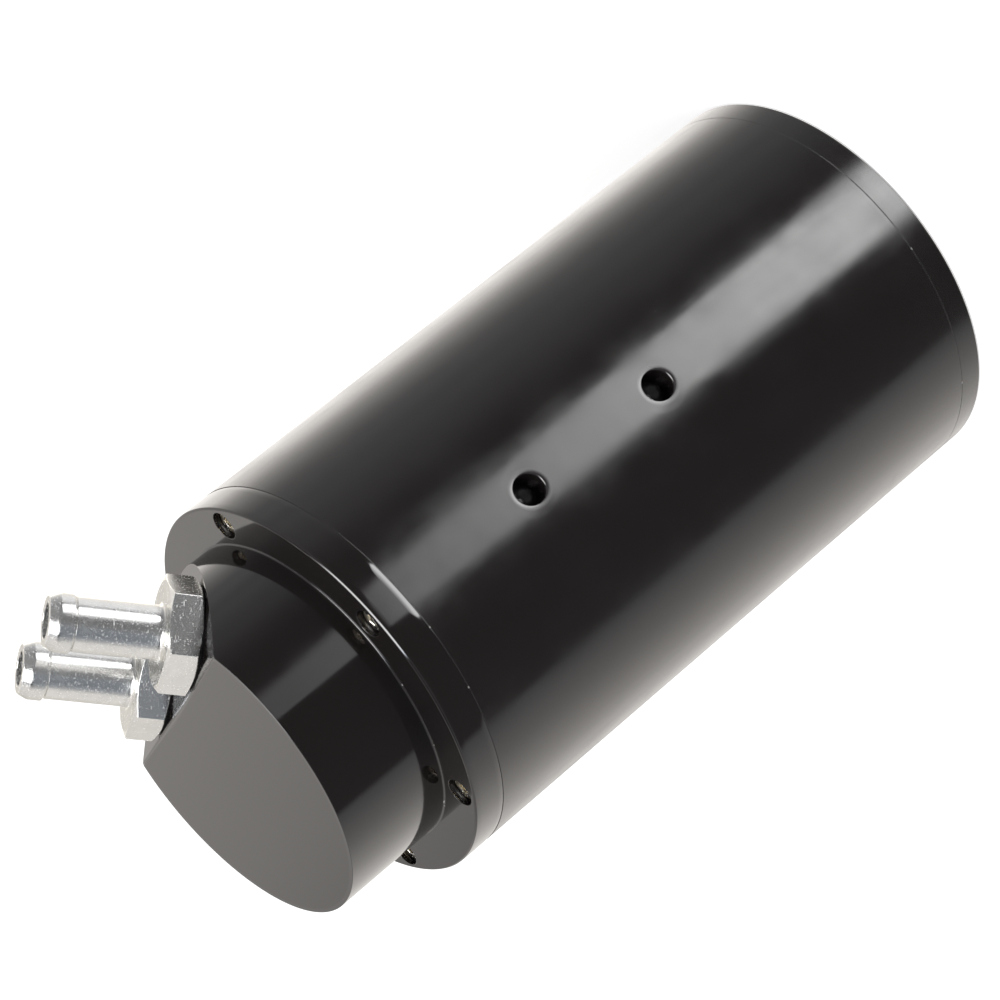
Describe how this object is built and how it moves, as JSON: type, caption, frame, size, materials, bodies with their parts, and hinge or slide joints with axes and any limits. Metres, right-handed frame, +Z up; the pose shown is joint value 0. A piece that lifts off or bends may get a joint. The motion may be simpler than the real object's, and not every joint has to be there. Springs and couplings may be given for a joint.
{
  "type": "oil catch can",
  "caption": "Upright cylindrical oil catch can: screwed-on machined cap with a slanted face carrying beaded hose fittings, and tapped bracket holes in the side.",
  "frame": {"origin": "centre of the flat bottom face", "axes": "+Z up the can's axis from the bottom to the cap, +X out through the bracket holes, +Y towards the slanted face and its hose fittings"},
  "size_m": [0.09, 0.0919, 0.1982],
  "materials": {
    "black_anodised": "black anodised, satin gloss",
    "black_rubber": "matt black nitrile rubber",
    "screw_steel": "bright zinc plated",
    "plated_steel": "bright plated, lightly scratched"
  },
  "bodies": {
    "root": {"body_tube": "black_anodised", "top_cap": "black_anodised", "base_plate": "black_anodised", "cap_gasket": "black_rubber", "base_gasket": "black_rubber", "cap_screw_1": "screw_steel", "cap_screw_2": "screw_steel", "cap_screw_3": "screw_steel", "cap_screw_4": "screw_steel", "cap_screw_5": "screw_steel", "cap_screw_6": "screw_steel", "base_screw_1": "screw_steel", "base_screw_2": "screw_steel", "base_screw_3": "screw_steel", "base_screw_4": "screw_steel", "base_screw_5": "screw_steel", "base_screw_6": "screw_steel", "inlet_fitting": "plated_steel", "outlet_fitting": "plated_steel", "inlet_seal": "black_rubber", "outlet_seal": "black_rubber"}
  },
  "joints": []
}
